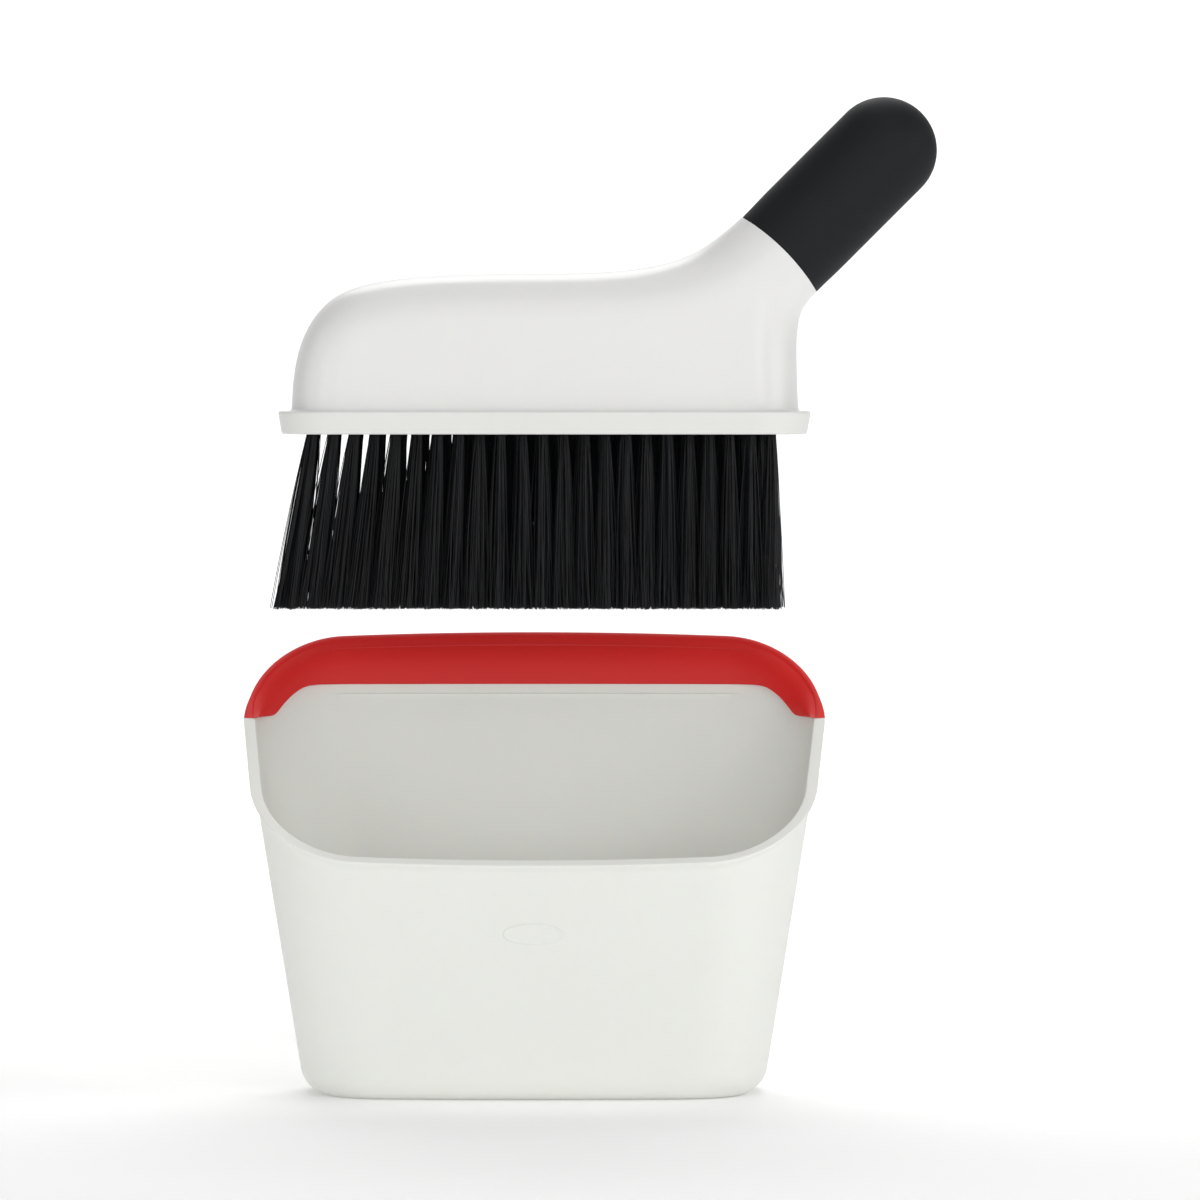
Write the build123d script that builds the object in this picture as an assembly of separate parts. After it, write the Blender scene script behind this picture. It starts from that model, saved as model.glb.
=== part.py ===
"""Dust pan and brush set: an upright bucket-shaped pan with the brush held over its mouth.

Frame: millimetres, +Z up, origin at the centre of the pan's flat base. The pan's low wall is
its front, towards -Y. The brush lies along X, its toe at -X and its grip rising at +X.
"""
from build123d import *
import math
import os

# ---- Pan: a tapered bucket whose mouth is cut by a slanted plane ----
PAN_BASE_HALF_WIDTH = 87.4
PAN_SIDE_DRAFT = 0.158  # widening of each side wall per millimetre of height
PAN_BASE_HALF_DEPTH = 40.0
PAN_FRONT_DRAFT = 0.14
PAN_BACK_DRAFT = 0.07
PAN_CORNER_BASE = 30.0  # plan corner radius at the base
PAN_CORNER_GROWTH = 0.06  # and how much it grows per millimetre of height
PAN_BOW = 4.0  # how far the front and back walls bow out in plan
PAN_WALL = 2.4
PAN_FLOOR = 2.6
PAN_EDGE_OUTER = 10.0  # radius between floor and walls
PAN_EDGE_INNER = 7.6
PAN_LOFT_TOP = 195.0
MOUTH_FRONT_Z = 90.6  # mouth plane at the front wall
MOUTH_BACK_Z = 173.6  # mouth plane at the back wall
BEAD_PROUD = 2.0
BEAD_DEPTH = 3.0  # measured straight down from the mouth plane
STEP_Z = 150.5  # the inner back wall is thicker above this height
STEP_THICK = 1.2
STEP_HALF_LENGTH = 80.0
BADGE_Z = 64.3
BADGE_HALF_LENGTH = 11.4
BADGE_HALF_HEIGHT = 4.05
BADGE_PROUD = 0.5

# ---- Lip: an elastomer cap over the top of the back wall and both back corners ----
LIP_BACK_Z = 154.2  # lower edge of the lip behind
LIP_HEIGHT = 13.6  # at the corners, down from the mouth plane
LIP_END_Z = 142.8
LIP_PROUD_OUT = 1.2
LIP_PROUD_IN = 2.4
LIP_OVER_WALL = 4.0  # how far the lip stands above the wall it caps

# ---- Brush: block, tufts, housing, grip. It is built about X = 0, then moved aside ----
BRUSH_X = 4.0
FLANGE_TOP = 260.8
FLANGE_BOTTOM = 252.1
FLANGE_HALF_LENGTH = 101.6
FLANGE_HALF_WIDTH = 28.0
FLANGE_CORNER = 22.0
FLANGE_TAPER = 1.5  # the flange is this much smaller all round at its bottom
FLANGE_ROUND = 0.8
SPIGOT_HEIGHT = 5.0  # the block's raised part, inside the housing
PIN_RADIUS = 2.0
PIN_HEIGHT = 16.0
PIN_X = (-62.0, 0.0, 56.0)

TUFT_ROWS = 5
TUFT_ROW_PITCH = 8.0
TUFTS_LONG_ROW = 23
TUFT_FIRST_X = -88.0
TUFT_LAST_X = 86.2
TUFT_ROOT_RADIUS = 2.1
TUFT_TIP_RADIUS = 2.9
TUFT_TIP_Z = 185.4
HOLE_RADIUS = 2.2
HOLE_DEPTH = 6.8
STAPLE = (3.8, 0.5, 1.8)
FAN_ANGLE = 8.7  # lean of the first tufts, in degrees
FAN_END_X = -10.0  # where the lean has died away
STAGGER_COLUMNS = 8
TOE_COLUMNS = 4  # tufts of each row that bend aside in the pan

HOUSING_WALL = 2.2
NECK_AXIS_DEG = 45.0
NECK_RADIUS = 20.3  # across the neck, in the XZ plane
NECK_HALF_WIDTH = 17.8  # across the neck, along Y
NECK_END = (89.6, 320.35)  # X, Z of the middle of the neck's end
NECK_BULGE = 2.2  # how far the neck's end bulges towards the grip
NECK_RUN = 40.0  # length of the straight neck inside the body
GRIP_LENGTH = 56.4  # from the neck's end to the centre of the grip's round end
CORE_RADIUS = 11.0
CORE_IN_NECK = 26.0
CORE_IN_GRIP = 46.0
FIT = 0.05  # running gap between pieces that are pushed together

# Housing stations: X, top Z, half-width. The sections are arches that stand on the flange.
HOUSING_STATIONS = (
    (-96.4, 272.0, 7.0),
    (-95.0, 280.5, 12.0),
    (-92.0, 289.5, 16.2),
    (-87.0, 297.5, 19.2),
    (-79.0, 304.5, 21.4),
    (-66.0, 309.4, 22.6),
    (-40.0, 312.4, 23.0),
    (0.0, 313.0, 23.0),
    (30.0, 314.2, 23.0),
    (49.5, 318.1, 22.6),
    (64.0, 325.4, 21.8),
    (74.0, 333.0, 20.4),
    (84.0, 322.0, 18.6),
    (93.0, 309.0, 15.0),
    (96.8, 292.0, 9.0),
)


def pan_outline(height, grow):
    """The pan's plan at a height: bowed front and back, straight sides, round corners."""
    half_width = PAN_BASE_HALF_WIDTH + PAN_SIDE_DRAFT * height + grow
    front = -(PAN_BASE_HALF_DEPTH + PAN_FRONT_DRAFT * height + grow)
    back = PAN_BASE_HALF_DEPTH + PAN_BACK_DRAFT * height + grow
    corner = PAN_CORNER_BASE + PAN_CORNER_GROWTH * height + grow
    ends = (
        (-half_width, front + PAN_BOW),
        (half_width, front + PAN_BOW),
        (half_width, back - PAN_BOW),
        (-half_width, back - PAN_BOW),
    )
    edges = [
        ThreePointArc(ends[0], (0, front), ends[1]),
        Line(ends[1], ends[2]),
        ThreePointArc(ends[2], (0, back), ends[3]),
        Line(ends[3], ends[0]),
    ]
    sharp = make_face(Curve() + edges)
    return Pos(0, 0, height) * fillet(sharp.vertices(), corner)


def pan_body(bottom, grow):
    return loft([pan_outline(bottom, grow), pan_outline(PAN_LOFT_TOP, grow)], ruled=True)


def mouth_plane(drop=0.0):
    """The slanted mouth plane, lowered by a drop. Its normal points up and forwards."""
    front_y = -(PAN_BASE_HALF_DEPTH + PAN_FRONT_DRAFT * MOUTH_FRONT_Z)
    back_y = PAN_BASE_HALF_DEPTH + PAN_BACK_DRAFT * MOUTH_BACK_Z
    rise, run = MOUTH_BACK_Z - MOUTH_FRONT_Z, back_y - front_y
    return Plane(
        origin=(0, front_y, MOUTH_FRONT_Z - drop), x_dir=(1, 0, 0), z_dir=(0, -rise, run)
    )


def below(plane):
    """A block that fills the space under a slanted plane."""
    return extrude(plane * Rectangle(600, 600), -400)


def above(plane):
    return extrude(plane * Rectangle(600, 600), 400)


def round_bottom(solid, radius):
    low = solid.faces().sort_by(Axis.Z)[0]
    return fillet(low.edges(), radius)


def over(height):
    return Pos(0, 0, height) * Box(400, 400, 200, align=(Align.CENTER, Align.CENTER, Align.MIN))


def lip_zone():
    """The space round the back rim that the lip takes, a level edge behind and sloping corners."""
    lower_edge = over(LIP_BACK_Z) + above(mouth_plane(LIP_HEIGHT))
    return below(mouth_plane()) & over(LIP_END_Z) & lower_edge


def make_pan_shell(inner):
    outer = round_bottom(pan_body(0, 0), PAN_EDGE_OUTER)
    mouth = mouth_plane()
    bead = pan_body(0, BEAD_PROUD) & below(mouth) & above(mouth_plane(BEAD_DEPTH))
    shell = (outer & below(mouth)) + bead - inner
    step = Pos(0, PAN_BASE_HALF_DEPTH, STEP_Z) * Box(
        2 * STEP_HALF_LENGTH, 40, 60, align=(Align.CENTER, Align.CENTER, Align.MIN)
    )
    step = (step & inner & below(mouth)) - pan_body(PAN_FLOOR, -PAN_WALL - STEP_THICK)
    shell = shell + step
    shell = shell - (lip_zone() & above(mouth_plane(LIP_OVER_WALL)))
    return shell - (lip_zone() - pan_body(0, 0)) + make_badge(outer)


def make_badge(outer):
    """A plain oval boss that follows the front wall."""
    oval = Plane(origin=(0, 0, BADGE_Z), x_dir=(1, 0, 0), z_dir=(0, -1, 0)) * Ellipse(
        BADGE_HALF_LENGTH, BADGE_HALF_HEIGHT
    )
    column = extrude(oval, 90)
    return (column & pan_body(0, BADGE_PROUD)) - outer


def make_lip(shell, inner_void):
    whole = lip_zone() & pan_body(0, LIP_PROUD_OUT)
    return whole - inner_void - shell


def flange_outline(height, shrink):
    plan = RectangleRounded(
        2 * (FLANGE_HALF_LENGTH - shrink), 2 * (FLANGE_HALF_WIDTH - shrink), FLANGE_CORNER - shrink
    )
    return Pos(0, 0, height) * plan


def tuft_places():
    """(row, column, X, Y) of every tuft.

    Odd rows have one tuft less. They start level with the others at the toe and have moved
    half a pitch aside after STAGGER_COLUMNS tufts.
    """
    pitch = (TUFT_LAST_X - TUFT_FIRST_X) / (TUFTS_LONG_ROW - 1)
    for row in range(TUFT_ROWS):
        aside = row % 2
        y = (row - (TUFT_ROWS - 1) / 2) * TUFT_ROW_PITCH
        for column in range(TUFTS_LONG_ROW - aside):
            shift = aside / 2 * min(1.0, column / STAGGER_COLUMNS)
            yield row, column, TUFT_FIRST_X + (column + shift) * pitch, y


def tuft_lean(x):
    share = (FAN_END_X - x) / (FAN_END_X - TUFT_FIRST_X)
    return math.radians(FAN_ANGLE * max(0.0, share))


def make_tuft(x, y):
    """A tuft: a round root in its hole, then a cone that leans with the fan."""
    hole_top = FLANGE_BOTTOM + HOLE_DEPTH - STAPLE[2]
    root = Pos(x, y, FLANGE_BOTTOM) * Cylinder(
        TUFT_ROOT_RADIUS, hole_top - FLANGE_BOTTOM, align=(Align.CENTER, Align.CENTER, Align.MIN)
    )
    length = FLANGE_BOTTOM - TUFT_TIP_Z
    tip_x = x - length * math.tan(tuft_lean(x))
    cone = loft(
        [
            Pos(x, y, FLANGE_BOTTOM) * Circle(TUFT_ROOT_RADIUS),
            Pos(tip_x, y, TUFT_TIP_Z) * Circle(TUFT_TIP_RADIUS),
        ],
        ruled=True,
    )
    return root + cone


def make_staple(x, y):
    middle = FLANGE_BOTTOM + HOLE_DEPTH - STAPLE[2] / 2
    return Pos(x, y, middle) * Box(*STAPLE)


def make_block():
    """The block: flange, spigot and pins above it, and a blind hole for each tuft."""
    block = loft([flange_outline(FLANGE_BOTTOM, FLANGE_TAPER), flange_outline(FLANGE_TOP, 0)])
    rims = block.faces().sort_by(Axis.Z)
    block = fillet(rims[0].edges() + rims[-1].edges(), FLANGE_ROUND)
    clearance = HOUSING_WALL + 4 * FIT
    spigot = housing_loft(clearance) & Pos(0, 0, FLANGE_TOP) * Box(
        400, 400, SPIGOT_HEIGHT, align=(Align.CENTER, Align.CENTER, Align.MIN)
    )
    block = block + spigot
    for x in PIN_X:
        block = block + Pos(x, 0, FLANGE_TOP) * Cylinder(
            PIN_RADIUS, PIN_HEIGHT, align=(Align.CENTER, Align.CENTER, Align.MIN)
        )
    holes = [
        Pos(x, y, FLANGE_BOTTOM)
        * Cylinder(HOLE_RADIUS, HOLE_DEPTH, align=(Align.CENTER, Align.CENTER, Align.MIN))
        for _, _, x, y in tuft_places()
    ]
    return block - holes


def arch(x, top, half_width):
    """An upright cross-section of the housing: straight sides under a half-elliptic crown."""
    shoulder = FLANGE_TOP + 0.55 * (top - FLANGE_TOP)
    sides = Polyline(
        (-half_width, shoulder),
        (-half_width, FLANGE_TOP),
        (half_width, FLANGE_TOP),
        (half_width, shoulder),
    )
    crown = Spline(
        (half_width, shoulder),
        (0.84 * half_width, shoulder + 0.72 * (top - shoulder)),
        (0, top),
        (-0.84 * half_width, shoulder + 0.72 * (top - shoulder)),
        (-half_width, shoulder),
        tangents=((0, 1), (0, -1)),
    )
    return Plane(origin=(x, 0, 0), x_dir=(0, 1, 0), z_dir=(1, 0, 0)) * make_face(sides + crown)


def housing_loft(inset):
    """The housing's body, every section drawn in by an inset."""
    first, last = HOUSING_STATIONS[0][0], HOUSING_STATIONS[-1][0]
    sections = []
    for x, top, half_width in HOUSING_STATIONS:
        share = (x - first) / (last - first)
        at = x + inset * (1 - 2 * share)
        sections.append(arch(at, top - inset, max(2.5, half_width - inset)))
    return loft(sections, ruled=True)


def neck_plane(along=0.0):
    """A plane across the neck, at a distance along its axis from the neck's end."""
    angle = math.radians(NECK_AXIS_DEG)
    axis = (math.cos(angle), 0, math.sin(angle))
    origin = (NECK_END[0] + along * axis[0], 0, NECK_END[1] + along * axis[2])
    return Plane(origin=origin, x_dir=(-axis[2], 0, axis[0]), z_dir=axis)


def neck_barrel():
    """A large barrel lying along Y. Its surface is the neck's end, curved only in side view."""
    radius = (NECK_RADIUS**2 + NECK_BULGE**2) / (2 * NECK_BULGE)
    centre = neck_plane(NECK_BULGE - radius).origin
    return Pos(centre) * Rot(90, 0, 0) * Cylinder(radius, 80)


def neck_section(along):
    return neck_plane(along) * Ellipse(NECK_RADIUS, NECK_HALF_WIDTH)


def upright_posts(outer):
    """Hollow posts under the housing's roof that the block's pins are pushed into."""
    posts = []
    bottom = FLANGE_TOP + SPIGOT_HEIGHT + 0.3
    for x in PIN_X:
        ring = Pos(x, 0, bottom) * (
            Cylinder(PIN_RADIUS + 2.2, 60, align=(Align.CENTER, Align.CENTER, Align.MIN))
            - Cylinder(PIN_RADIUS, PIN_HEIGHT, align=(Align.CENTER, Align.CENTER, Align.MIN))
        )
        posts.append(ring & outer)
    return posts


def make_housing():
    """A moulded shell, open underneath, with a solid neck bored for the grip's core."""
    outer = housing_loft(0)
    neck = extrude(neck_section(-NECK_RUN), NECK_RUN + 10) & neck_barrel()
    neck = neck & Pos(0, 0, FLANGE_TOP) * Box(
        400, 400, 200, align=(Align.CENTER, Align.CENTER, Align.MIN)
    )
    void = housing_loft(HOUSING_WALL) - extrude(neck_section(-CORE_IN_NECK - 3), 60)
    housing = outer - void + neck
    for post in upright_posts(outer):
        housing = housing + post
    bore = extrude(neck_plane(-CORE_IN_NECK) * Circle(CORE_RADIUS), CORE_IN_NECK + 20)
    return housing - bore


def make_core():
    return extrude(
        neck_plane(-CORE_IN_NECK) * Circle(CORE_RADIUS - FIT), CORE_IN_NECK + CORE_IN_GRIP
    )


def make_grip():
    """The rubber grip: a capsule, a little flatter along Y, hollow for the core."""
    round_end = neck_plane(GRIP_LENGTH) * Sphere(NECK_RADIUS)
    capsule = extrude(neck_plane(-8) * Circle(NECK_RADIUS), GRIP_LENGTH + 8) + round_end
    capsule = scale(capsule, by=(1, NECK_HALF_WIDTH / NECK_RADIUS, 1))
    bore = extrude(neck_plane(-20) * Circle(CORE_RADIUS), 20 + CORE_IN_GRIP + FIT)
    behind = extrude(neck_plane(0) * Rectangle(80, 80), -30)
    return capsule - neck_barrel() - behind - bore


def write(name, shape):
    export_step(shape, f"parts/{name}.step")


def write_brush(name, *solids):
    """Brush pieces hang a little to the grip's side of the pan's middle."""
    moved = [Pos(BRUSH_X, 0, 0) * solid for solid in solids]
    write(name, moved[0] if len(moved) == 1 else Compound(children=moved))


def main():
    os.makedirs("parts", exist_ok=True)

    inner = round_bottom(pan_body(PAN_FLOOR, -PAN_WALL), PAN_EDGE_INNER)
    shell = make_pan_shell(inner)
    write("pan_shell", shell)
    write("lip_seal", make_lip(shell, pan_body(PAN_FLOOR, -PAN_WALL - LIP_PROUD_IN)))

    write_brush("bristle_block", make_block())
    write_brush("brush_housing", make_housing())
    write_brush("grip_core", make_core())
    write_brush("grip_sleeve", make_grip())

    rows = [[] for _ in range(TUFT_ROWS)]
    toe, staples = [], []
    for row, column, x, y in tuft_places():
        (toe if column < TOE_COLUMNS else rows[row]).append(make_tuft(x, y))
        staples.append(make_staple(x, y))
    for number, tufts in enumerate(rows, start=1):
        write_brush(f"tufts_row_{number}", *tufts)
    write_brush("toe_tufts", *toe)
    write_brush("tuft_staples", *staples)


main()
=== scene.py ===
# %% [markdown]
# ## The frame that everything hangs on
# The set is an upright bucket-shaped dust pan and a hand brush held over its mouth. Its sizes,
# its parts and the way the brush lifts out were settled before this script, in a imported model.
# The first step loads that model, bakes each part's placement into its points and defines part_box.

# %% Load the frame
import math

import bmesh
import bpy
import numpy as np
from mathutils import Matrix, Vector


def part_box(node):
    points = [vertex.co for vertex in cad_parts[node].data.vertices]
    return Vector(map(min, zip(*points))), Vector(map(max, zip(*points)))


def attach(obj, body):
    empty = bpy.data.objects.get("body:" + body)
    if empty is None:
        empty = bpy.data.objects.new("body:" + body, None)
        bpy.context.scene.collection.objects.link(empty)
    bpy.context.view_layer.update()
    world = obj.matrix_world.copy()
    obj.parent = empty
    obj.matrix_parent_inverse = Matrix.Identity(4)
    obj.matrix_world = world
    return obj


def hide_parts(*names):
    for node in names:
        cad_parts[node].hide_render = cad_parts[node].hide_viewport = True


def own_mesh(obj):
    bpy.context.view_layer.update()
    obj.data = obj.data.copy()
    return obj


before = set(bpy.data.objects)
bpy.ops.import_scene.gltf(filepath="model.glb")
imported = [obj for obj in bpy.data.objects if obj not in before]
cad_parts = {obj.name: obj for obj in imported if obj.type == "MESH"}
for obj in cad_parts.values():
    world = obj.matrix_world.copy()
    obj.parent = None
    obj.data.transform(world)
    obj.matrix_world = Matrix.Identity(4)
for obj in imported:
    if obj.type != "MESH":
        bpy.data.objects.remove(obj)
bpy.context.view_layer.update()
MM = 0.001

# %% [markdown]
# ## Looking at it from far away
# Seen through a long lens from nearly level, the upright walls of a small object stay upright. A
# long focal length at 2.75 m gives that. The camera looks down by only a couple of degrees, and
# the slanted mouth still shows the back wall of the pan over its low front.

# %% The camera
VIEW_DISTANCE = 2.75
VIEW_DROP = math.radians(2.0)
VIEW_TARGET = Vector((0.0252, 0.0, 0.1885))
VIEW_WIDTH = 0.459


def make_camera():
    """A camera VIEW_DISTANCE from its target, turned down by VIEW_DROP, VIEW_WIDTH wide there."""
    lens = bpy.data.cameras.new("camera")
    lens.sensor_width = 36.0
    lens.lens = lens.sensor_width * VIEW_DISTANCE / VIEW_WIDTH
    camera = bpy.data.objects.new("camera", lens)
    back = Vector((0.0, -math.cos(VIEW_DROP), math.sin(VIEW_DROP)))
    camera.location = VIEW_TARGET + VIEW_DISTANCE * back
    camera.rotation_euler = (math.pi / 2 - VIEW_DROP, 0.0, 0.0)
    bpy.context.scene.collection.objects.link(camera)
    bpy.context.scene.camera = camera
    return camera


camera = make_camera()
print("lens", round(camera.data.lens, 1), "mm")

# %% [markdown]
# ## Soft light on a pale sweep
# White plastic needs light from many sides, or it turns grey. The floor curves up into a wall far
# behind the set, so that no horizon line shows, and glows a little so that it stays white. Large
# area lights low in front reach into the open pan as well as onto its outside. Weaker ones at
# the sides, above and behind round the edges off, and one lights only the wall.

# %% The sweep, the lights and the surroundings


def grid_mesh(name, points, wrap_u=False, wrap_v=False):
    """A mesh from a grid of points shaped (rows, columns, 3), four-sided faces between them.

    wrap_u joins the last column to the first and wrap_v the last row to the first. Points that
    fall on one another, as at a pole, are merged, which turns the faces there into triangles.
    """
    rows, columns = points.shape[:2]
    index = np.arange(rows * columns).reshape(rows, columns)
    if wrap_u:
        index = np.concatenate([index, index[:, :1]], axis=1)
    if wrap_v:
        index = np.concatenate([index, index[:1]], axis=0)
    faces = np.stack([index[:-1, :-1], index[:-1, 1:], index[1:, 1:], index[1:, :-1]], axis=-1)
    mesh = bpy.data.meshes.new(name)
    mesh.from_pydata(points.reshape(-1, 3).tolist(), [], faces.reshape(-1, 4).tolist())
    return mesh


PAPER = {
    "Base Color": (0.97, 0.97, 0.97, 1.0),
    "Roughness": 0.9,
    "Emission Color": (1.0, 1.0, 1.0, 1.0),
    "Emission Strength": 0.14,
}


def make_floor():
    """A sheet that lies flat, then turns up through a quarter circle into a wall behind."""
    bend, near, far, half_wide, wall_top = 0.9, -4.0, 2.2, 5.0, 4.0
    turn = np.linspace(0.0, math.pi / 2, 25)
    depth = np.concatenate([[near], far + bend * np.sin(turn), [far + bend]])
    height = np.concatenate([[0.0], bend * (1.0 - np.cos(turn)), [wall_top]])
    side = np.array([-half_wide, half_wide])
    points = np.stack(np.broadcast_arrays(side[None, :], depth[:, None], height[:, None]), axis=-1)
    floor = bpy.data.objects.new("floor", grid_mesh("floor", points))
    bpy.context.scene.collection.objects.link(floor)
    floor.data.polygons.foreach_set("use_smooth", np.ones(len(floor.data.polygons), dtype=bool))
    paper = bpy.data.materials.new("paper")
    paper.use_nodes = True
    shader = paper.node_tree.nodes["Principled BSDF"]
    for socket, value in PAPER.items():
        shader.inputs[socket].default_value = value
    floor.data.materials.append(paper)
    return floor


def make_light(name, place, aim, size, power):
    """A square area light that looks at a point of the set."""
    lamp = bpy.data.lights.new(name, "AREA")
    lamp.size = size
    lamp.energy = power
    light = bpy.data.objects.new(name, lamp)
    light.location = Vector(place)
    light.rotation_euler = (Vector(aim) - Vector(place)).to_track_quat("-Z", "Y").to_euler()
    bpy.context.scene.collection.objects.link(light)
    return light


def make_surroundings(grey, strength):
    """An even glow of one grey from every side."""
    world = bpy.data.worlds.new("studio")
    world.use_nodes = True
    background = world.node_tree.nodes["Background"]
    background.inputs["Color"].default_value = (grey, grey, grey, 1.0)
    background.inputs["Strength"].default_value = strength
    bpy.context.scene.world = world


floor = make_floor()
make_surroundings(1.0, 0.12)
bpy.context.scene.view_settings.view_transform = "Standard"
SET_MIDDLE = (0.0, 0.0, 0.18)
LIGHTS = [
    ("front", (0.2, -2.6, 0.5), 1.4, 11.5),
    ("front left", (-1.5, -2.2, 0.55), 1.2, 9.5),
    ("front right", (1.5, -2.2, 0.55), 0.9, 8.5),
    ("key", (0.35, -1.7, 1.7), 1.2, 7.0),
    ("left", (-1.8, -0.6, 0.8), 1.2, 4.0),
    ("right", (1.8, -0.4, 0.9), 1.2, 9.0),
    ("overhead", (0.0, 0.0, 2.2), 1.6, 8.0),
    ("back", (0.0, 1.3, 1.7), 1.2, 10.0),
]
for name, place, size, power in LIGHTS:
    make_light(name, place, SET_MIDDLE, size, power)
make_light("wall", (0.0, 1.6, 2.2), (0.0, 3.1, 0.6), 2.0, 32.0)
print("lights:", [lamp.name for lamp in bpy.data.lights])

# %% [markdown]
# ## Writing shader maths as sums
# A moulded finish is a few patterns added and multiplied together. Wired by hand that takes a
# dozen Math nodes; with a small class around a socket, `0.3 + 0.1 * speckle` adds them itself.
# Colours and vectors are left to Mix and Bump nodes, because a Math node would turn them grey.

# %% A socket that can be added and multiplied


class Signal:
    """The value that leaves a socket. A sum or a product with it adds a Math node."""

    def __init__(self, tree, socket):
        self.tree = tree
        self.socket = socket

    def maths(self, operation, first, second):
        node = self.tree.nodes.new("ShaderNodeMath")
        node.operation = operation
        for slot, value in zip(node.inputs, (first, second)):
            if isinstance(value, Signal):
                self.tree.links.new(value.socket, slot)
            else:
                slot.default_value = value
        return Signal(self.tree, node.outputs[0])

    def __add__(self, other):
        return self.maths("ADD", self, other)

    def __mul__(self, other):
        return self.maths("MULTIPLY", self, other)

    __radd__ = __add__
    __rmul__ = __mul__


def seen(red, green, blue):
    """A colour given as the eye reads it, 0 to 255, turned into the linear light of a shader."""
    share = np.array([red, green, blue]) / 255.0
    linear = np.where(share <= 0.04045, share / 12.92, ((share + 0.055) / 1.055) ** 2.4)
    return (*linear.tolist(), 1.0)


class Finish:
    """A material with one Principled shader, and the patterns that feed it."""

    def __init__(self, name, **numbers):
        self.material = bpy.data.materials.new(name)
        self.material.use_nodes = True
        self.tree = self.material.node_tree
        self.shader = self.tree.nodes["Principled BSDF"]
        self.place = self.add("TexCoord", "Object")
        for socket, value in numbers.items():
            self.shader.inputs[socket.replace("_", " ")].default_value = value

    def add(self, kind, output=0, settings=None, **values):
        """Any other node: settings are set first, then values or links go to its sockets."""
        node = self.tree.nodes.new("ShaderNode" + kind)
        for key, value in (settings or {}).items():
            setattr(node, key, value)
        for key, value in values.items():
            slot = node.inputs[int(key[1:]) if key[0] == "_" else key.replace("_", " ")]
            if isinstance(value, Signal):
                self.tree.links.new(value.socket, slot)
            else:
                slot.default_value = value
        return Signal(self.tree, node.outputs[output])

    def noise(self, per_metre, detail=2.0, roughness=0.5):
        return self.add(
            "TexNoise", "Fac", Vector=self.place, Scale=per_metre, Detail=detail, Roughness=roughness
        )

    def blend(self, share, low, high):
        """A colour between low and high; the colour sockets of a Mix node are its 7th and 8th."""
        return self.add("Mix", 2, {"data_type": "RGBA"}, _0=share, _6=low, _7=high)

    def bumps(self, height, depth, strength=1.0):
        return self.add("Bump", 0, Height=height, Distance=depth, Strength=strength)

    def feed(self, **links):
        for socket, value in links.items():
            self.tree.links.new(value.socket, self.shader.inputs[socket.replace("_", " ")])
        return self.material


print("orange reads as", [round(part, 3) for part in seen(255, 128, 0)[:3]])

# %% [markdown]
# ## Putting a surface on its body
# Every piece made with make_piece ends the same way: doubles are merged so that seams and poles
# close, the faces are turned outwards, smooth shading is switched on, the piece rides on its
# moving body and takes its finish, and the plain solids it stands for are hidden.

# %% From grids of points to a piece of the object
SHARP_ANGLE = math.radians(40.0)


def make_piece(name, meshes, body, finish, solids=(), aside=0.0):
    """Join the meshes into one closed object, ride it on a body and give it its finish."""
    shape = bmesh.new()
    for mesh in meshes:
        shape.from_mesh(mesh)
    bmesh.ops.remove_doubles(shape, verts=shape.verts, dist=0.02 * MM)
    bmesh.ops.recalc_face_normals(shape, faces=shape.faces)
    bmesh.ops.translate(shape, verts=shape.verts, vec=(aside * MM, 0.0, 0.0))
    joined = bpy.data.meshes.new(name)
    shape.to_mesh(joined)
    shape.free()
    piece = bpy.data.objects.new(name, joined)
    bpy.context.scene.collection.objects.link(piece)
    joined.polygons.foreach_set("use_smooth", np.ones(len(joined.polygons), dtype=bool))
    joined.set_sharp_from_angle(angle=SHARP_ANGLE)
    joined.materials.append(finish)
    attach(piece, body)
    if solids:
        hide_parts(*solids)
    print(f"{name}: {len(joined.vertices)} points, {len(joined.polygons)} faces")
    return piece


# %% [markdown]
# ## The finishes of moulded plastic and rubber
# Off-white polypropylene is never one flat colour: light sinks in a little, the mould leaves a
# fine grain, and handling leaves faint duller patches. Noise on Object coordinates gives all
# three, because it needs no unwrapping and stays fixed to the part. The casing of the brush is
# polished, the pan is grained, and the two rubbers are dull with a softer, finer grain.

# %% Plastics and rubbers


def moulded(name, colour, warmer, gloss, grain_depth, grain_per_metre, patchy=0.08, **numbers):
    """A moulded finish: broad tone shifts, duller handled patches and a fine mould grain."""
    finish = Finish(name, **numbers)
    broad = finish.noise(14.0, 3.0)
    handled = finish.noise(46.0, 4.0, 0.6)
    grain = finish.noise(grain_per_metre, 2.0, 0.55)
    return finish.feed(
        Base_Color=finish.blend(broad, colour, warmer),
        Roughness=gloss + patchy * handled + 0.04 * grain,
        Normal=finish.bumps(grain, grain_depth * MM, 0.6),
    )


PAN_PLASTIC = moulded(
    "pan_plastic", seen(236, 237, 232), seen(233, 234, 228), 0.42, 0.030, 2600.0,
    Subsurface_Weight=0.06, Subsurface_Scale=0.002, IOR=1.49,
)
HOUSING_PLASTIC = moulded(
    "housing_plastic", seen(230, 230, 228), seen(228, 228, 226), 0.27, 0.003, 2200.0, 0.03,
    Subsurface_Weight=0.06, Subsurface_Scale=0.002, IOR=1.46,
)
BLOCK_PLASTIC = moulded(
    "block_plastic", seen(230, 230, 228), seen(224, 224, 220), 0.32, 0.012, 2000.0, IOR=1.49
)
GRIP_RUBBER = moulded(
    "grip_rubber", seen(9, 12, 17), seen(12, 15, 20), 0.60, 0.020, 3200.0, IOR=1.36
)
LIP_RUBBER = moulded(
    "lip_rubber", seen(222, 26, 20), seen(216, 22, 20), 0.52, 0.012, 3000.0,
    Subsurface_Weight=0.08, Subsurface_Scale=0.0015, IOR=1.48,
)
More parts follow.
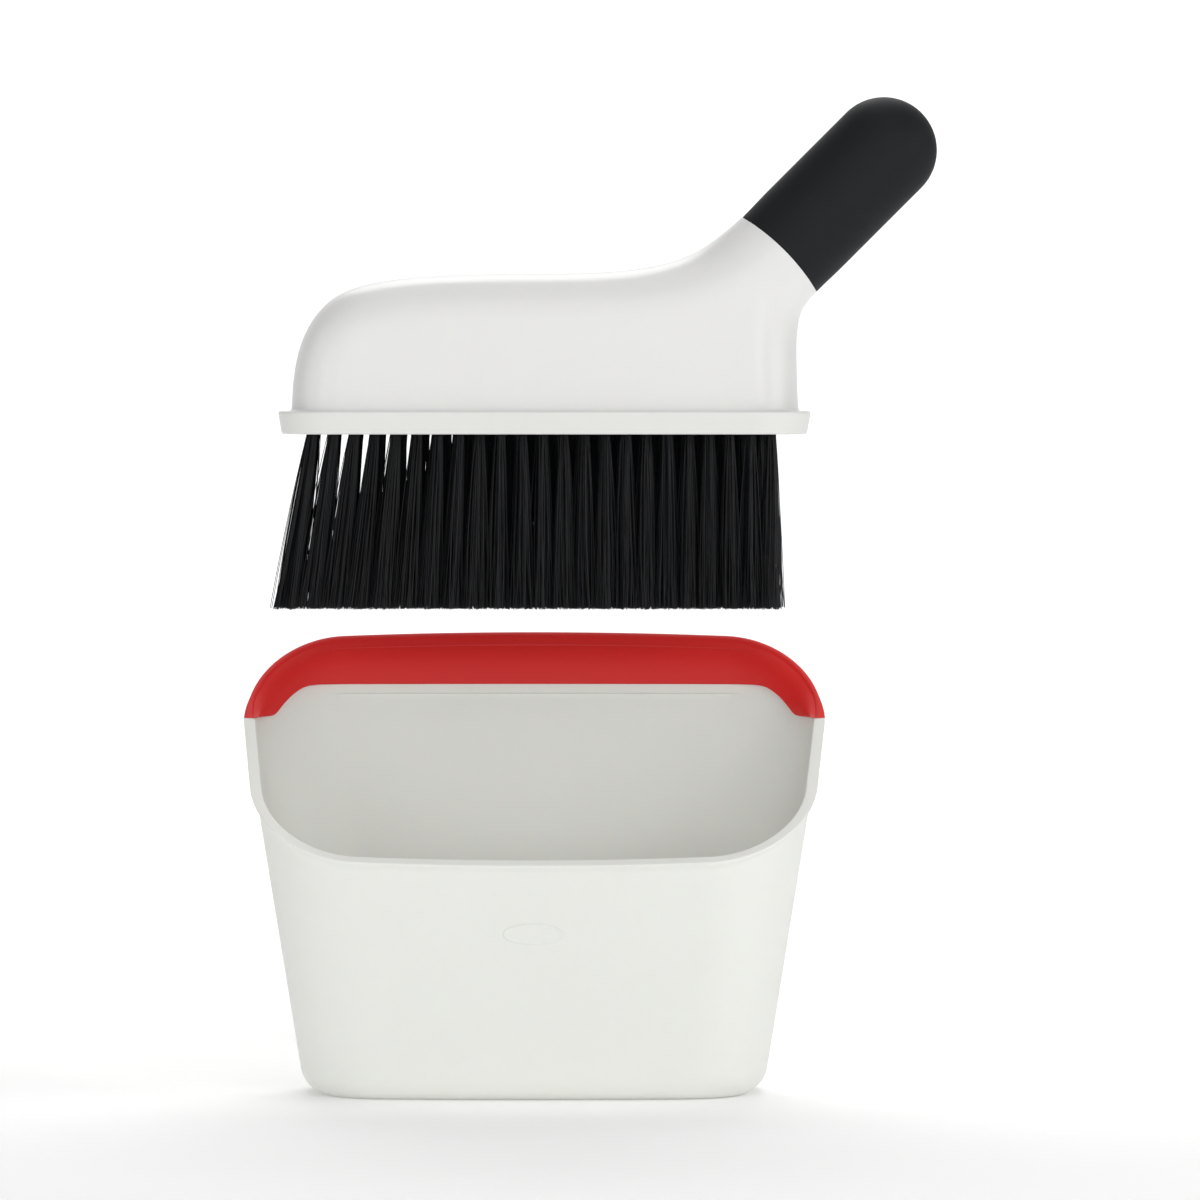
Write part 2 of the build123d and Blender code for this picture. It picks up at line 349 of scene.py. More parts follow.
CORE_PLASTIC = moulded(
    "core_plastic", seen(222, 222, 216), seen(214, 214, 208), 0.45, 0.015, 2200.0, IOR=1.49
)
STAPLE_STEEL = moulded(
    "staple_steel", seen(176, 176, 178), seen(160, 160, 164), 0.22, 0.004, 4000.0, Metallic=1.0
)
print("finishes:", [material.name for material in bpy.data.materials if material.use_nodes])

# %% [markdown]
# ## The plan of the pan
# Seen from above, the pan is a rectangle with large round corners whose long sides bow out. It
# widens with height, because a moulded bucket must slide out of its mould. A rounded rectangle
# is a smaller rectangle with a radius added along the outward direction, and that is how it is
# written here: it lets one formula give the plan at any height and any offset from the wall.

# %% The plan at a height, and the mouth plane that cuts it
BASE_HALF_WIDTH = 87.4
BASE_HALF_DEPTH = 40.0
SIDE_DRAFT = 0.158
FRONT_DRAFT = 0.14
BACK_DRAFT = 0.07
CORNER_BASE = 30.0
CORNER_GROWTH = 0.06
WALL_BOW = 4.0
WALL = 2.4
MOUTH_FRONT_Z = 90.6
MOUTH_BACK_Z = 173.6


def plan_stations(long_side, corner, short_side):
    """Walk once round the plan: where each point sits on the inner rectangle, and its direction.

    Each straight side holds the direction still while the place moves from corner to corner;
    each corner holds the place still while the direction turns by a quarter.
    """
    places, turns = [], []
    corners = [(-1, -1), (1, -1), (1, 1), (-1, 1)]
    for number, count in enumerate((long_side, short_side, long_side, short_side)):
        start, end = np.array(corners[number]), np.array(corners[(number + 1) % 4])
        share = np.linspace(0.0, 1.0, count, endpoint=False)[:, None]
        side_turn = math.pi / 2 * (number - 1)
        places += [start + share * (end - start), np.repeat(end[None, :], corner, axis=0)]
        turns += [
            np.full(count, side_turn),
            side_turn + math.pi / 2 * np.linspace(0.0, 1.0, corner, endpoint=False),
        ]
    return np.concatenate(places), np.concatenate(turns)


PLACES, TURNS = plan_stations(48, 40, 34)


def plan_point(height, grow=0.0, share=1.0):
    """Points of the wall at a height, grown outwards, in millimetres; share shrinks the plan.

    The rectangle's corners lie a radius inside the walls, the radius is added along each
    point's direction, and the depth shrinks with the square of the way out to the sides, which
    bows the front and back.
    """
    height = np.asarray(height, float) * np.ones(len(TURNS))
    front = -(BASE_HALF_DEPTH + FRONT_DRAFT * height + grow)
    back = BASE_HALF_DEPTH + BACK_DRAFT * height + grow
    middle, half_depth = (front + back) / 2, (back - front) / 2
    half_width = BASE_HALF_WIDTH + SIDE_DRAFT * height + grow
    radius = CORNER_BASE + CORNER_GROWTH * height + grow
    x = PLACES[:, 0] * (half_width - radius) + radius * np.cos(TURNS)
    y = PLACES[:, 1] * (half_depth - radius) + radius * np.sin(TURNS)
    y = y * (1.0 - WALL_BOW / half_depth * (x / half_width) ** 2)
    return np.stack([share * x, middle + share * y, height], axis=-1)


MOUTH_FRONT_Y = -(BASE_HALF_DEPTH + FRONT_DRAFT * MOUTH_FRONT_Z)
MOUTH_BACK_Y = BASE_HALF_DEPTH + BACK_DRAFT * MOUTH_BACK_Z
MOUTH_SLOPE = (MOUTH_BACK_Z - MOUTH_FRONT_Z) / (MOUTH_BACK_Y - MOUTH_FRONT_Y)


def mouth_height(grow=0.0):
    """The height at which each upright line of the wall meets the slanted mouth plane.

    The wall leans, so its depth depends on the height sought. Starting from a guess and putting
    the answer back in a few times settles it.
    """
    height = np.full(len(TURNS), (MOUTH_FRONT_Z + MOUTH_BACK_Z) / 2)
    for _ in range(8):
        height = MOUTH_FRONT_Z + MOUTH_SLOPE * (plan_point(height, grow)[:, 1] - MOUTH_FRONT_Y)
    return height


print("mouth runs from", mouth_height().min().round(1), "to", mouth_height().max().round(1), "mm")

# %% [markdown]
# ## The bucket of the pan
# One profile is carried round the plan: from the middle of the underside out to the rounded
# foot, up the outer wall, over the rolled bead at the rim, down the inner wall and back to the
# middle of the floor. Each point of the profile is a distance grown from the wall and a height,
# and the wall's heights are shares of the way up to the slanted mouth, so the same profile fits
# the low front and the high back. Under the rubber lip the bead dies away and the wall stops
# short, as it does on a part that rubber is moulded over.

# %% The bucket
FOOT_ROUND = 10.0
FLOOR_THICK = 2.6
INNER_FOOT_ROUND = 7.6
BEAD_PROUD = 2.0
BEAD_SLIMMER = 0.7
BEAD_DEPTH = 3.4
LIP_BACK_Z = 154.2
LIP_HEIGHT = 13.6
LIP_END_Z = 142.8
LIP_OVER_WALL = 4.0
STEP_Z = 150.5
STEP_THICK = 1.2
STEP_HALF_LENGTH = 80.0


def smooth_step(value, low, high):
    """0 below low, 1 above high, and an S-shaped rise between."""
    share = np.clip((value - low) / (high - low), 0.0, 1.0)
    return share * share * (3.0 - 2.0 * share)


def wall_top(grow=0.0):
    """The plastic wall's own top: the mouth, but lower and level where the lip caps it."""
    mouth = mouth_height(grow)
    return np.minimum(mouth, np.maximum(LIP_END_Z, mouth - LIP_OVER_WALL))


def bead_roll():
    """(outward, below the rim) of the bead: a hollow underside, then a small round outer edge."""
    rise = np.linspace(0.0, 1.0, 7)[:-1]
    turn = np.linspace(-0.9, math.pi / 2, 8)
    outward = np.concatenate([0.80 * rise**1.6, 0.86 + 0.14 * np.cos(turn)])
    below = np.concatenate([1.0 - 0.66 * rise, 0.17 - 0.17 * np.sin(turn)])
    return outward, below


def back_step(height):
    """Extra thickness of the inner back wall above a level line, fading out at the corners."""
    across = plan_point(height)[:, 0]
    faded = 1.0 - smooth_step(np.abs(across), STEP_HALF_LENGTH - 8.0, STEP_HALF_LENGTH + 4.0)
    behind = PLACES[:, 1] > 0.99
    return STEP_THICK * faded * behind * smooth_step(height, STEP_Z - 0.3, STEP_Z + 0.3)


def bucket_rings():
    rings = []
    for share in (0.0, 0.5, 0.9):
        rings.append(plan_point(0.0, -FOOT_ROUND, share))
    for turn in np.linspace(0.0, math.pi / 2, 11):
        rise, inward = FOOT_ROUND * (1 - math.cos(turn)), FOOT_ROUND * (1 - math.sin(turn))
        rings.append(plan_point(rise, -inward))

    top = wall_top()
    under_bead = top - BEAD_DEPTH
    for share in np.linspace(0.0, 1.0, 26)[1:]:
        rings.append(plan_point(FOOT_ROUND + share * (under_bead - FOOT_ROUND)))

    bead_left = 1.0 - smooth_step(mouth_height(), LIP_END_Z, LIP_END_Z + 1.5)
    proud = BEAD_PROUD - BEAD_SLIMMER * np.maximum(0.0, -np.sin(TURNS))
    for outward, below in zip(*bead_roll()):
        grow = proud * outward * bead_left
        rings.append(plan_point(top - BEAD_DEPTH * below, grow))

    inner = -WALL
    inner_top = wall_top(inner)
    rim = 0.5
    for turn in np.linspace(0.0, math.pi / 2, 5):
        grow = inner + rim * (1.0 - math.sin(turn))
        rings.append(plan_point(inner_top - rim * (1.0 - math.cos(turn)), grow))
    low = FLOOR_THICK + INNER_FOOT_ROUND
    upper = inner_top - rim
    at_step = np.minimum(upper, STEP_Z)
    drops = [at_step + share * (upper - at_step) for share in (0.75, 0.5, 0.25)]
    drops += [np.minimum(upper, STEP_Z + rise) for rise in (0.35, 0.12, -0.12, -0.35)]
    shelf = np.minimum(upper, STEP_Z - 0.35)
    drops += [shelf - share * (shelf - low) for share in np.linspace(0.0, 1.0, 60)[1:]]
    for height in drops:
        rings.append(plan_point(height, inner - back_step(height)))
    for turn in np.linspace(0.0, math.pi / 2, 9)[1:]:
        fall, inward = INNER_FOOT_ROUND * math.sin(turn), INNER_FOOT_ROUND * (1 - math.cos(turn))
        rings.append(plan_point(low - fall, inner - inward))
    for share in (0.9, 0.5, 0.0):
        rings.append(plan_point(FLOOR_THICK, inner - INNER_FOOT_ROUND, share))
    return np.stack(rings)


pan = make_piece(
    "pan_bucket",
    [grid_mesh("bucket", bucket_rings() * MM, wrap_u=True)],
    "pan", PAN_PLASTIC, ["pan_shell"],
)

# %% [markdown]
# ## The rubber lip
# The back of the rim, which is swept towards, wears a red rubber cap. It follows the same plan
# as the wall, from where the rim climbs past a level line on one side, round the back, to the
# same line on the other. Its section is an upside-down U with a narrow top edge. The inner face
# falls away from that edge and swells, so dust runs down it into the pan. The slot of the U is
# the plastic wall it was moulded over.

# %% The lip
LIP_PROUD_OUT = 1.2
LIP_PROUD_IN = 2.4
LIP_TOP_ROUND = 0.8
LIP_EDGE = 2.0
LIP_SWELL = 2.6


def lip_columns():
    """The stations of the plan under the lip, and one more at each end where it runs out."""
    under = np.flatnonzero(mouth_height() > LIP_END_Z)
    return np.concatenate([[under[0] - 1], under, [under[-1] + 1]])


def lip_lower_edge():
    """Level behind, then a line that keeps its distance from the mouth, then the level ends.

    The logarithm of a sum of powers of e follows the larger value and rounds the bend between.
    """
    mouth, bend = mouth_height(), 0.9
    low = -bend * np.logaddexp(-LIP_BACK_Z / bend, -(mouth - LIP_HEIGHT) / bend)
    low = bend * np.logaddexp(low / bend, LIP_END_Z / bend)
    return np.minimum(low, mouth)


def lip_rings():
    columns, low, cap = lip_columns(), lip_lower_edge(), wall_top()
    at_end = 1.0 - smooth_step(mouth_height(), LIP_END_Z, LIP_END_Z + 9.0)
    outer = LIP_PROUD_OUT + (BEAD_PROUD - LIP_PROUD_OUT) * at_end
    swell = smooth_step(mouth_height() - low, 0.0, 9.0)
    thick_in = WALL + LIP_PROUD_IN * (0.45 + 0.55 * swell)
    edge_in = outer - LIP_EDGE - 1.6 * at_end
    rings = []

    def ring(grow, height):
        rings.append(plan_point(np.maximum(height, low), grow)[columns])

    top_out = mouth_height(outer) - LIP_TOP_ROUND
    for share in np.linspace(0.0, 1.0, 14)[:-1]:
        ring(outer, low + share * (top_out - low))
    for turn in np.linspace(0.0, math.pi, 13):
        middle, half = (outer + edge_in) / 2, (outer - edge_in) / 2
        grow = middle + half * math.cos(turn)
        ring(grow, mouth_height(grow) - LIP_TOP_ROUND * (1.0 - math.sin(turn)))
    top_in = mouth_height(edge_in) - LIP_TOP_ROUND
    for share in np.linspace(0.0, 1.0, 24)[1:]:
        grow = edge_in - (edge_in + thick_in) * (1.0 - (1.0 - share) ** LIP_SWELL)
        ring(grow, top_in + share * (low + 0.5 - top_in))
    for turn in np.linspace(0.0, math.pi / 2, 4)[1:]:
        ring(-thick_in + 0.5 * (1.0 - math.cos(turn)), low + 0.5 * (1.0 - math.sin(turn)))
    ring(-WALL, low)
    ring(-WALL, cap)
    ring(0.0, cap)
    ring(0.0, low)
    return np.stack(rings)


lip = make_piece(
    "lip_seal_rubber",
    [grid_mesh("lip", lip_rings() * MM, wrap_v=True)],
    "pan", LIP_RUBBER, ["lip_seal"],
)

# %% [markdown]
# ## The oval boss on the front
# A shallow plain oval stands out of the middle of the front wall. Rings shrink from its outline,
# which is sunk a little into the wall, over a small round edge to its flat middle, and each
# point is laid on the wall by the same bow and draft that shape the wall.

# %% The boss
BOSS_Z = 64.3
BOSS_HALF_LENGTH = 11.4
BOSS_HALF_HEIGHT = 4.05
BOSS_PROUD = 0.48


def front_wall(x, z, proud):
    """Points on the outer front wall, pushed forwards out of it."""
    bow = WALL_BOW * (x / (BASE_HALF_WIDTH + SIDE_DRAFT * z)) ** 2
    return np.stack([x, bow - (BASE_HALF_DEPTH + FRONT_DRAFT * z + proud), z], axis=-1)


def boss_rings():
    around = np.linspace(0.0, 2 * math.pi, 96, endpoint=False)
    profile = [(0.0, -0.25), (0.0, 0.12)]
    profile += [
        (0.36 * (1 - math.cos(turn)), 0.12 + (BOSS_PROUD - 0.12) * math.sin(turn))
        for turn in np.linspace(0.0, math.pi / 2, 6)[1:]
    ]
    profile += [(0.9, BOSS_PROUD), (1.15, BOSS_PROUD - 0.10), (1.5, BOSS_PROUD - 0.12)]
    profile += [(share * BOSS_HALF_HEIGHT, BOSS_PROUD - 0.12) for share in (0.7, 1.0)]
    rings = []
    for inset, proud in profile:
        x = (BOSS_HALF_LENGTH - inset) * np.cos(around)
        z = BOSS_Z + (BOSS_HALF_HEIGHT - inset) * np.sin(around)
        rings.append(front_wall(x, z, proud))
    return np.stack(rings)


boss = make_piece(
    "oval_boss", [grid_mesh("boss", boss_rings() * MM, wrap_u=True)],
    "pan", PAN_PLASTIC,
)

# %% [markdown]
# ## The casing of the brush
# The casing has no edges except at its foot: it is like its own side view blown up until it is
# as thick as the brush. So its thickness at a point of the side view depends only on how far
# the point is from the outline: nothing on the outline, rising along part of an ellipse, and
# full thickness further in. The neck is as narrow as two such roundings, which makes it oval.
# A few points set the outline, joined by a smooth curve. The brush is worked out about the
# middle of its flange and moved aside as a whole, because it hangs a little off the pan's middle.

# %% The casing's outline
CASING_FOOT_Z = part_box("brush_housing")[0][2] / MM
BRUSH_X = 4.0
NECK_END = np.array([89.6, 320.35])
NECK_RADIUS = 20.3
NECK_HALF_WIDTH = 17.8
NECK_TURN = math.radians(45.0)
ALONG = np.array([math.cos(NECK_TURN), math.sin(NECK_TURN)])
ACROSS = np.array([-math.sin(NECK_TURN), math.cos(NECK_TURN)])
CASING_HALF_WIDTH = 23.0
CASING_ROUND = 18.0
SEAM_BULGE = 2.2
GRIP_RUN = 56.4
CORE_RADIUS = 11.0
CORE_IN_GRIP = 46.05
CASING_WALL = 2.2


def smooth_curve(points, count):
    """A natural cubic spline through points, evenly spaced by the square root of each gap.

    The bends at the points are the unknowns of one linear system: each span's curve meets the
    next with the same direction, and both ends are left unbent.
    """
    points = np.array(points, float)
    gaps = np.linalg.norm(np.diff(points, axis=0), axis=1) ** 0.5
    knots = np.concatenate([[0.0], np.cumsum(gaps)])
    size = len(points)
    system = np.eye(size)
    right = np.zeros((size, points.shape[1]))
    for k in range(1, size - 1):
        system[k, k - 1 : k + 2] = gaps[k - 1], 2 * (gaps[k - 1] + gaps[k]), gaps[k]
        slopes = (points[k + 1] - points[k]) / gaps[k] - (points[k] - points[k - 1]) / gaps[k - 1]
        right[k] = 6 * slopes
    bend = np.linalg.solve(system, right)
    at = np.linspace(0.0, knots[-1], count)
    span = np.clip(np.searchsorted(knots, at, side="right") - 1, 0, size - 2)
    gap = gaps[span][:, None]
    before, after = (at - knots[span])[:, None], (knots[span + 1] - at)[:, None]
    ends = points[span] * after / gap + points[span + 1] * before / gap
    sag = bend[span] * (after**3 / gap - gap * after) + bend[span + 1] * (before**3 / gap - gap * before)
    return ends + sag / 6


def evenly(curve, shares):
    """The points of a curve at the given shares of its length."""
    steps = np.linalg.norm(np.diff(curve, axis=0), axis=1)
    run = np.concatenate([[0.0], np.cumsum(steps)])
    run /= run[-1]
    return np.stack([np.interp(shares, run, curve[:, axis]) for axis in range(2)], axis=-1)


BACK_OUTLINE = smooth_curve(
    [(-96.6, 260.8), (-95.9, 272.5), (-92.4, 288.0), (-82.6, 302.3), (-64.0, 309.9), (-24.0, 312.9),
     (16.0, 313.5), (42.0, 316.1), (60.0, 322.7), tuple(NECK_END + NECK_RADIUS * ACROSS)], 240,
)
HEEL_OUTLINE = smooth_curve(
    [(97.0, 260.8), (96.4, 279.0), (97.3, 295.6), (100.4, 302.4),
     tuple(NECK_END - NECK_RADIUS * ACROSS)], 60,
)
print("casing top at", BACK_OUTLINE[:, 1].max().round(1), "mm")

# %% The casing's surface


def distance_to(curve, points):
    """How far each point of the side view is from a curve, taken as many short straight runs.

    The nearest place on a run is where the point falls on it at a right angle, or its end.
    """
    starts, runs = curve[:-1], np.diff(curve, axis=0)
    reach = points[..., None, :] - starts
    share = np.clip((reach * runs).sum(-1) / (runs**2).sum(-1), 0.0, 1.0)
    gaps = reach - share[..., None] * runs
    return np.sqrt((gaps**2).sum(-1).min(-1))


def casing_thickness(places):
    """Half the casing's thickness at points of its side view, by their distance to the outline."""
    along_neck = (places - NECK_END) @ ALONG
    in_neck = smooth_step(along_neck, -66.0, -8.0)
    draft = 0.025 * (places[..., 1] - CASING_FOOT_Z) * (1.0 - in_neck)
    full = CASING_HALF_WIDTH + (NECK_HALF_WIDTH - CASING_HALF_WIDTH) * in_neck - draft
    reach = CASING_ROUND + (NECK_RADIUS - CASING_ROUND) * in_neck
    square = 2.35 - 0.35 * in_neck
    far = np.minimum(distance_to(BACK_OUTLINE, places), distance_to(HEEL_OUTLINE, places))
    left = 1.0 - np.clip(far / reach, 0.0, 1.0)
    return full * (1.0 - left**square) ** (1.0 / square)


def seam_bulge(across):
    """How far the curved end of the neck stands out along it: a parabola across the neck."""
    return SEAM_BULGE * (1.0 - (across / NECK_RADIUS) ** 2)


def neck_point(along, across, side):
    """A point by its place along the neck's axis, across it in the side view, and sideways."""
    flat = NECK_END + np.asarray(along)[..., None] * ALONG + np.asarray(across)[..., None] * ACROSS
    side = np.broadcast_to(side, flat.shape[:-1])
    return np.stack([flat[..., 0], side, flat[..., 1]], axis=-1)


def casing_rings(rows=130, half=56):
    """Rings that fan from level at the foot to square across the neck, front side then back."""
    share = np.linspace(0.0, 1.0, rows)
    upper = evenly(BACK_OUTLINE, share)
    heel_share = np.interp(share, [0.0, 0.18, 0.60, 0.85, 1.0], [0.0, 0.48, 0.64, 0.80, 1.0])
    lower = evenly(HEEL_OUTLINE, heel_share)
    over = (1.0 - np.cos(np.linspace(0.0, math.pi, half))) / 2
    places = upper[:, None] + over[None, :, None] * (lower - upper)[:, None]
    bulge = SEAM_BULGE * (1.0 - (2 * over - 1) ** 2) * smooth_step(share, 0.86, 1.0)[:, None]
    thick = casing_thickness(places)
    thick[:, [0, -1]] = 0.0
    places = places + bulge[..., None] * ALONG
    front = np.stack([places[..., 0], -thick, places[..., 1]], axis=-1)
    rear = np.stack([places[..., 0], thick, places[..., 1]], axis=-1)[:, -2:0:-1]
    return np.concatenate([front, rear], axis=1)


def curl_foot(rings, radius=1.4, rows=6):
    """Rings for the foot of a wall, curling outwards in a quarter circle onto the flange."""
    base = rings[0]
    tangent = np.roll(base, -1, axis=0) - np.roll(base, 1, axis=0)
    outward = np.stack([tangent[:, 1], -tangent[:, 0], 0 * tangent[:, 0]], axis=-1)
    outward /= np.linalg.norm(outward, axis=1)[:, None] + 1e-9
    outward *= np.sign((outward * (base - base.mean(0))).sum(1))[:, None]
    keep = rings[rings[:, :, 2].min(axis=1) > CASING_FOOT_Z + radius]
    turn = np.linspace(0.0, math.pi / 2, rows)
    out, rise = radius * (1 - np.sin(turn)), radius * (1 - np.cos(turn))
    foot = base[None] + out[:, None, None] * outward[None]
    foot[:, :, 2] = CASING_FOOT_Z + rise[:, None]
    return np.concatenate([foot, keep])


def seam_cap(ring, inner_radius, steps=6):
    """The neck's end: rings shrinking from its edge to the bore, on a surface curved one way."""
    flat = ring[:, [0, 2]] - NECK_END
    across, side = flat @ ACROSS, ring[:, 1]
    caps = []
    for share in np.linspace(1.0, inner_radius / NECK_RADIUS, steps):
        wide = 1.0 + (NECK_RADIUS / NECK_HALF_WIDTH - 1.0) * (1.0 - share)
        caps.append(neck_point(seam_bulge(across * share), across * share, side * share * wide))
    return np.stack(caps)


casing_outer = curl_foot(casing_rings())
casing_grid = np.concatenate([casing_outer, seam_cap(casing_outer[-1], CORE_RADIUS)[1:]])
casing = make_piece(
    "casing", [grid_mesh("casing", casing_grid * MM, wrap_u=True)],
    "brush", HOUSING_PLASTIC, ["brush_housing"], BRUSH_X,
)
wall = casing.modifiers.new("wall", "SOLIDIFY")
wall.thickness = CASING_WALL * MM
wall.offset = -1.0

# %% [markdown]
# ## The grip
# A rubber sleeve is pushed over a stiff core and against the curved end of the neck. It is a
# capsule with an oval section. One profile is carried round the neck's axis: up the bore from
# its blind end, out over the seam, along the outside and over the round end to the pole.

# %% The grip
GRIP_EASE = 0.25
GRIP_EDGE_ROUND = 0.5
SEAM_GAP = 0.06


def grip_rings():
    around = np.linspace(0.0, 2 * math.pi, 96, endpoint=False)
    rings = []

    def ring(along, radius, oval=1.0):
        squeeze = 1.0 + (NECK_HALF_WIDTH / NECK_RADIUS - 1.0) * oval
        across = radius * np.cos(around)
        rings.append(neck_point(along + 0 * across, across, radius * squeeze * np.sin(around)))

    for share in (0.0, 0.5, 1.0):
        ring(CORE_IN_GRIP, CORE_RADIUS * share, 0.0)
    for share in np.linspace(0.0, 1.0, 6)[1:]:
        bulge = seam_bulge(CORE_RADIUS * np.cos(around)) + SEAM_GAP
        ring(CORE_IN_GRIP + share * (bulge - CORE_IN_GRIP), CORE_RADIUS, 0.0)
    for share in np.linspace(0.0, 1.0, 6)[1:]:
        radius = CORE_RADIUS + share * (NECK_RADIUS - GRIP_EASE - GRIP_EDGE_ROUND - CORE_RADIUS)
        bulge = seam_bulge(radius * np.cos(around)) + SEAM_GAP
        ring(bulge, radius, share)
    body = NECK_RADIUS - GRIP_EASE
    edge = seam_bulge(body * np.cos(around)) + SEAM_GAP
    for turn in np.linspace(0.0, math.pi / 2, 5)[1:]:
        rise, inward = 1 - math.cos(turn), 1 - math.sin(turn)
        ring(edge + GRIP_EDGE_ROUND * rise, body - GRIP_EDGE_ROUND * inward)
    for share in np.linspace(0.0, 1.0, 20)[1:]:
        wide = body + GRIP_EASE * smooth_step(share, 0.0, 0.25)
        start = edge + GRIP_EDGE_ROUND
        ring(start + share * (GRIP_RUN - start), wide)
    for turn in np.linspace(0.0, math.pi / 2, 28)[1:]:
        ring(GRIP_RUN + NECK_RADIUS * math.sin(turn), NECK_RADIUS * math.cos(turn))
    return np.stack(rings)


grip = make_piece(
    "grip_rubber_sleeve", [grid_mesh("grip", grip_rings() * MM, wrap_u=True)],
    "brush", GRIP_RUBBER, ["grip_sleeve"], BRUSH_X,
)

# %% [markdown]
# ## The bristles
# A tuft is a bundle of nylon filaments folded over a wire anchor in a drilled hole, so it is
# round at its root and fans out to meet its neighbours at the trimmed ends. Each filament is a
# thin three-sided tube, and all of them are worked out at once as arrays: where it starts in
# the hole, where it ends in the fan, a slight bow on the way and an end trimmed a little long
# or short. Filaments that stray sideways cross those of the next tuft. Every row is one piece,
# and the toe's leaning tufts are a piece of their own, because they bend the most when the brush
# is stored. The pan presses the rows together a little too.

# %% The bristles
TUFT_ROWS = 5
TUFT_ROW_PITCH = 8.0
TUFTS_LONG_ROW = 23
TUFT_FIRST_X = -88.0
TUFT_LAST_X = 86.2
TUFT_TIP_Z = 185.4
TUFT_ROOT_Z = 252.1
TUFT_ROOT_RADIUS = 2.0
TUFT_FAN_RADIUS = 4.7
FAN_ANGLE = math.radians(8.7)
FAN_END_X = -10.0
STAGGER_COLUMNS = 8
TOE_COLUMNS = 4
FILAMENTS = 92
FILAMENT_RADIUS = 0.17
FILAMENT_STEPS = 8
FILAMENT_SUNK = 2.0
FILAMENT_STRAY = 0.7
FILAMENT_BOW = 1.1
FAN_SLACK = 1.1
TRIM_ERROR = 0.55


def disc(chance, count, radius):
    """Places spread evenly over a disc: the square root of chance keeps the middle no fuller."""
    turn, out = chance.random(count) * 2 * math.pi, radius * chance.random(count) ** 0.5
    return np.stack([out * np.cos(turn), out * np.sin(turn)], axis=-1)


def tuft_filaments(chance, x, y):
    """The middle lines of one tuft's filaments, shaped (filaments, steps, 3)."""
    lean = math.tan(FAN_ANGLE * max(0.0, (FAN_END_X - x) / (FAN_END_X - TUFT_FIRST_X)))
    root = disc(chance, FILAMENTS, TUFT_ROOT_RADIUS)
    stray = chance.normal(0.0, FILAMENT_STRAY, (FILAMENTS, 2))
    fanned = root * (TUFT_FAN_RADIUS / TUFT_ROOT_RADIUS)
    tip = fanned + disc(chance, FILAMENTS, FAN_SLACK) + stray
    end_z = TUFT_TIP_Z + np.abs(chance.normal(0.0, TRIM_ERROR, FILAMENTS))
    start_z = TUFT_ROOT_Z + FILAMENT_SUNK
    share = np.linspace(0.0, 1.0, FILAMENT_STEPS)
    down = start_z + (end_z[:, None] - start_z) * share
    bow = disc(chance, FILAMENTS, FILAMENT_BOW)
    flat = root[:, None] + (tip - root)[:, None] * share[:, None]
    flat = flat + bow[:, None] * (4 * share * (1 - share))[:, None]
    flat = flat + np.array([x + BRUSH_X, y])
    flat[..., 0] -= lean * (TUFT_ROOT_Z - TUFT_TIP_Z) * share
    return np.concatenate([flat, down[..., None]], axis=-1)


def filament_mesh(name, lines, tones):
    """Three-sided tubes round middle lines, closed at the trimmed end by one triangle.

    The corners stand at three directions in the level plane, since the filaments hang nearly
    straight down, and each tube narrows a little towards its end.
    """
    count, steps = lines.shape[:2]
    turn = np.arange(3) * 2 * math.pi / 3
    corner = np.stack([np.cos(turn), np.sin(turn), 0 * turn], axis=-1)
    width = FILAMENT_RADIUS * np.linspace(1.0, 0.85, steps)
    points = lines[:, :, None] + width[None, :, None, None] * corner
    index = np.arange(count * steps * 3).reshape(count, steps, 3)
    after = np.roll(index, -1, axis=2)
    sides = np.stack([index[:, :-1], after[:, :-1], after[:, 1:], index[:, 1:]], axis=-1)
    ends = np.stack([index[:, 0], index[:, -1, ::-1]], axis=1)
    faces = sides[..., ::-1].reshape(-1, 4).tolist() + ends.reshape(-1, 3).tolist()
    mesh = bpy.data.meshes.new(name)
    mesh.from_pydata((points * MM).reshape(-1, 3).tolist(), [], faces)
    layer = mesh.attributes.new("tone", "FLOAT", "POINT")
    layer.data.foreach_set("value", np.repeat(tones, steps * 3).astype(np.float32))
    return mesh


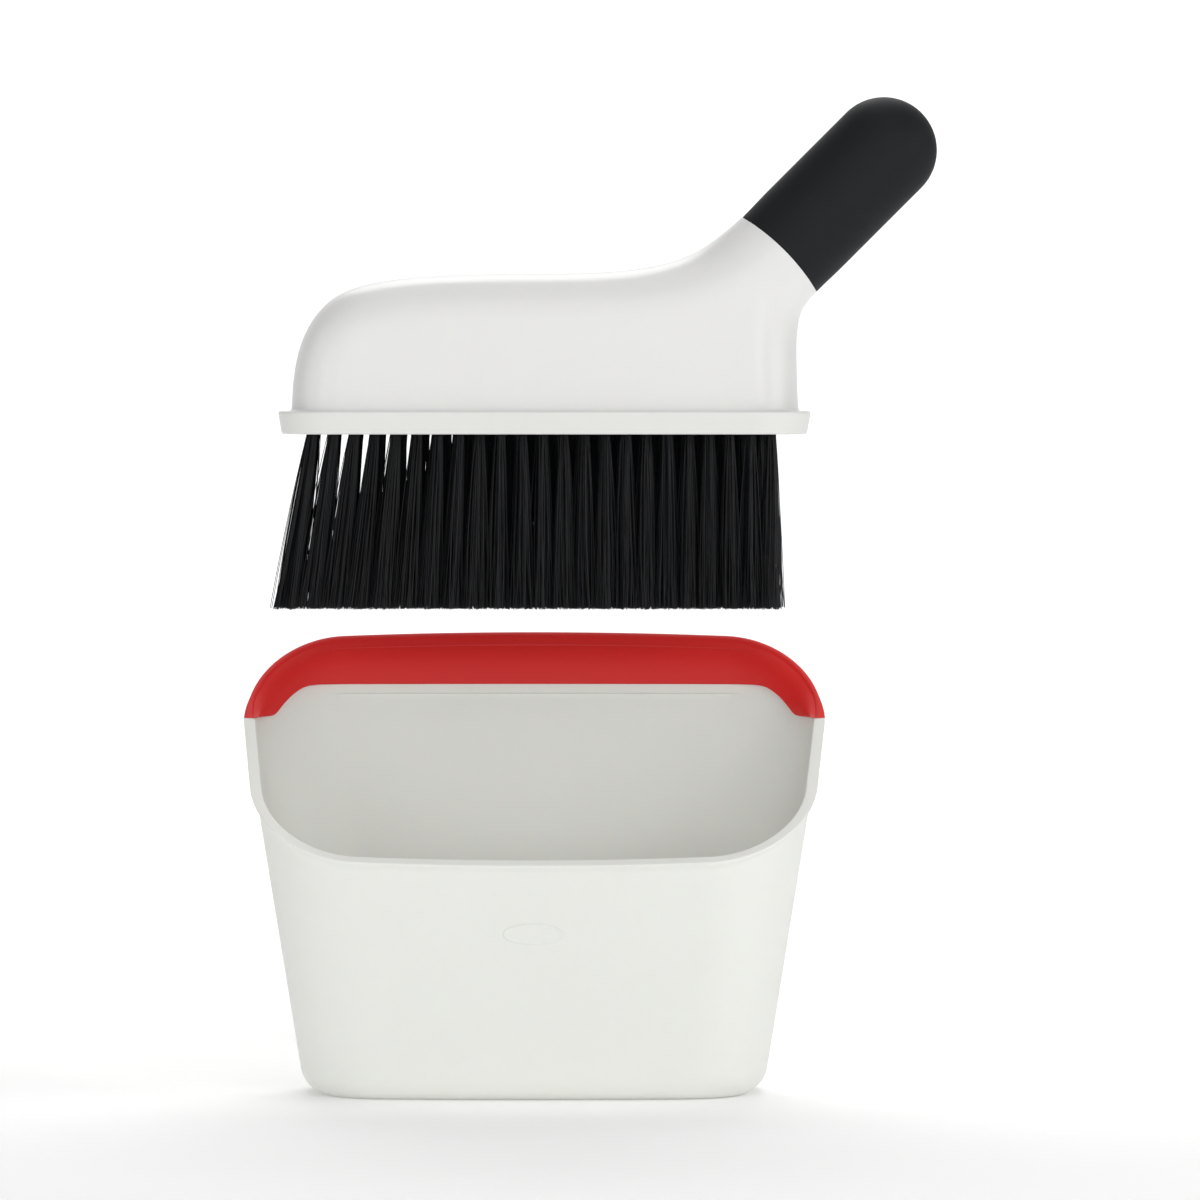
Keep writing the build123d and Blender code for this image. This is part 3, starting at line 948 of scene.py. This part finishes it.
def make_bristle_finish():
    """Black drawn nylon. Each filament keeps its own tone; the gloss shifts along the length."""
    finish = Finish("bristle_nylon", IOR=1.36)
    tone = finish.add("Attribute", "Fac", {"attribute_name": "tone"})
    streak = finish.noise(220.0, 2.0)
    return finish.feed(
        Base_Color=finish.blend(tone, seen(6, 7, 9), seen(24, 26, 31)),
        Roughness=0.34 + 0.18 * streak + 0.10 * tone,
    )


BRISTLE_NYLON = make_bristle_finish()


def make_bristles():
    """Gather each row's filaments, and the toe's, into pieces."""
    chance = np.random.default_rng(7)
    pitch = (TUFT_LAST_X - TUFT_FIRST_X) / (TUFTS_LONG_ROW - 1)
    rows, toe = [], []
    for row in range(TUFT_ROWS):
        aside = row % 2
        y = (row - (TUFT_ROWS - 1) / 2) * TUFT_ROW_PITCH
        shifts = aside / 2 * np.minimum(1.0, np.arange(TUFTS_LONG_ROW - aside) / STAGGER_COLUMNS)
        columns = [
            tuft_filaments(chance, TUFT_FIRST_X + (column + shift) * pitch, y)
            for column, shift in enumerate(shifts)
        ]
        toe += columns[:TOE_COLUMNS]
        rows.append((f"bristles_row_{row + 1}", f"tufts_row_{row + 1}", columns[TOE_COLUMNS:]))
    rows.append(("bristles_toe", "toe_tufts", toe))
    made = []
    for name, node, columns in rows:
        lines = np.concatenate(columns)
        mesh = filament_mesh(name, lines, chance.random(len(lines)) ** 2.2)
        piece = bpy.data.objects.new(name, mesh)
        bpy.context.scene.collection.objects.link(piece)
        mesh.materials.append(BRISTLE_NYLON)
        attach(piece, "brush")
        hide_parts(node)
        made.append(piece)
        print(f"{name}: {len(lines)} filaments")
    return made


bristles = make_bristles()
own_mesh(bristles[-1])
for row in bristles[:-1]:
    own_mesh(row)

# %% [markdown]
# ## Parts that keep their machined shape
# The block with its flange and its drilled holes, the grip's hidden core and the wire anchors
# are right as they were designed, so their own meshes stay, and only their finish is set.

# %% Finishes for the parts that stay
KEPT = {"bristle_block": BLOCK_PLASTIC, "grip_core": CORE_PLASTIC, "tuft_staples": STAPLE_STEEL}
for node, finish in KEPT.items():
    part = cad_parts[node]
    part.data.materials.clear()
    part.data.materials.append(finish)
    print(node, "wears", finish.name)
